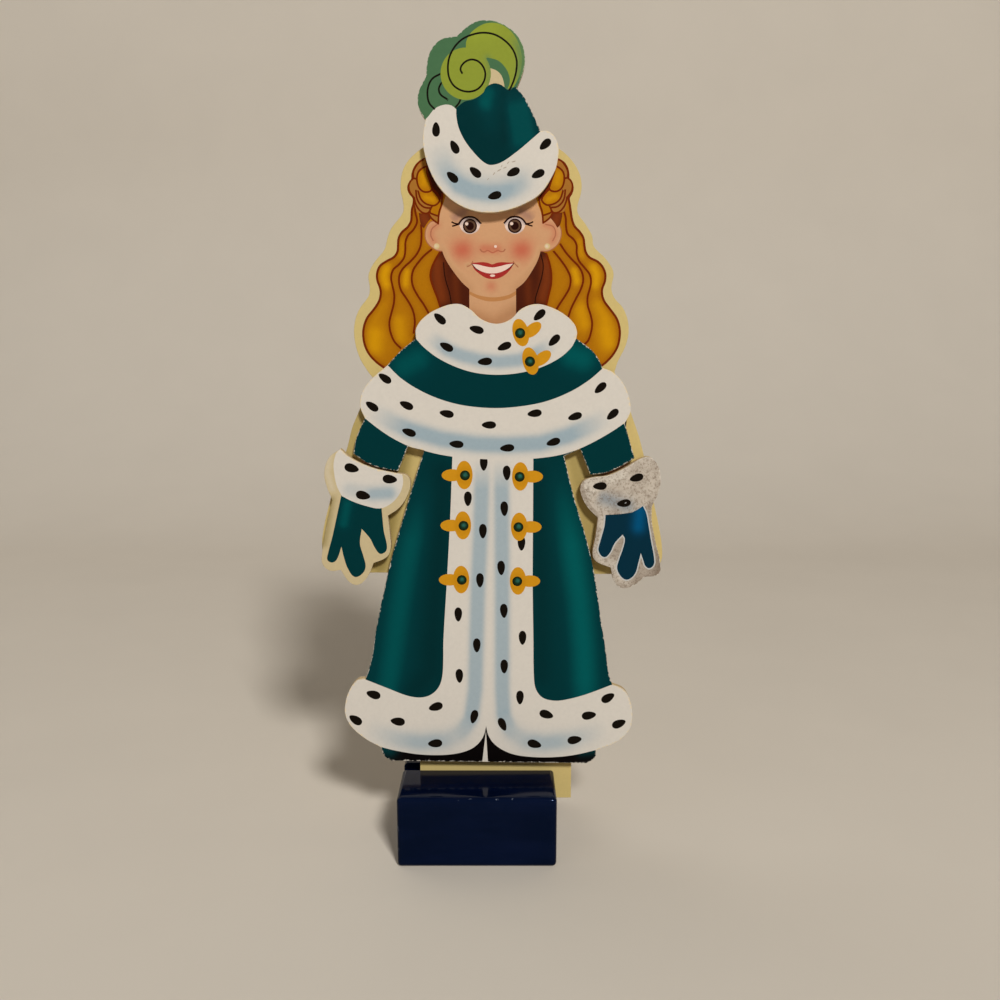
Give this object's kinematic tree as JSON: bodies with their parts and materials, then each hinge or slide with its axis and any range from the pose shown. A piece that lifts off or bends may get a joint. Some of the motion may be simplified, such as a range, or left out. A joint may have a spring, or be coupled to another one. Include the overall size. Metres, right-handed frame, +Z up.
{
  "type": "magnetic dress-up doll",
  "caption": "Flat wooden dress-up doll in a slotted navy stand, wearing a plumed hat, a fur-trimmed coat and gloves that magnets hold on and that pull off.",
  "frame": {"origin": "middle of the stand's underside, on the shelf", "axes": "+Z up; the printed front faces -Y; +X is to the right as seen from the front"},
  "size_m": [0.1, 0.044, 0.235],
  "materials": {
    "painted_stand": "navy gloss enamel on wood",
    "painted_board": "pale yellow satin paint on wood",
    "doll_paper": "printed, satin varnish",
    "steel_disc": "plain pressed steel",
    "garment_wood": "bare sawn wood",
    "hat_paper": "printed, satin varnish",
    "coat_paper": "printed, satin varnish",
    "glove_paper": "printed, satin varnish",
    "worn_glove_paper": "printed, worn and stained",
    "ferrite": "pressed grey ferrite"
  },
  "bodies": {
    "stand": {"stand_block": "painted_stand"},
    "doll": {"doll_board": "painted_board", "doll_print": "doll_paper", "doll_head_disc": "steel_disc", "doll_chest_disc": "steel_disc", "doll_skirt_disc": "steel_disc", "doll_left_hand_disc": "steel_disc", "doll_right_hand_disc": "steel_disc"},
    "hat_carrier": {"hat_magnet": "ferrite"},
    "hat": {"hat_board": "garment_wood", "hat_print": "hat_paper"},
    "coat": {"coat_board": "garment_wood", "coat_print": "coat_paper", "coat_chest_magnet": "ferrite", "coat_skirt_magnet": "ferrite"},
    "left_glove": {"left_glove_board": "garment_wood", "left_glove_print": "glove_paper", "left_glove_magnet": "ferrite"},
    "right_glove": {"right_glove_board": "garment_wood", "right_glove_print": "worn_glove_paper", "right_glove_magnet": "ferrite"}
  },
  "joints": [
    {"name": "doll_lift", "type": "slide", "parent": "stand", "child": "doll", "axis": [0, 0, 1], "range_m": [0, 0.03]},
    {"name": "hat_pull", "type": "slide", "parent": "doll", "child": "hat_carrier", "axis": [0, -1, 0], "range_m": [0, 0.03]},
    {"name": "hat_swivel", "type": "hinge", "parent": "hat_carrier", "child": "hat", "pos_m": [0.0045, -0.0028, 0.2], "axis": [0, -1, 0], "range_deg": [-25, 25]},
    {"name": "coat_pull", "type": "slide", "parent": "doll", "child": "coat", "axis": [0, -1, 0], "range_m": [0, 0.03]},
    {"name": "left_glove_pull", "type": "slide", "parent": "doll", "child": "left_glove", "axis": [0, -1, 0], "range_m": [0, 0.03]},
    {"name": "right_glove_pull", "type": "slide", "parent": "doll", "child": "right_glove", "axis": [0, -1, 0], "range_m": [0, 0.03]}
  ]
}
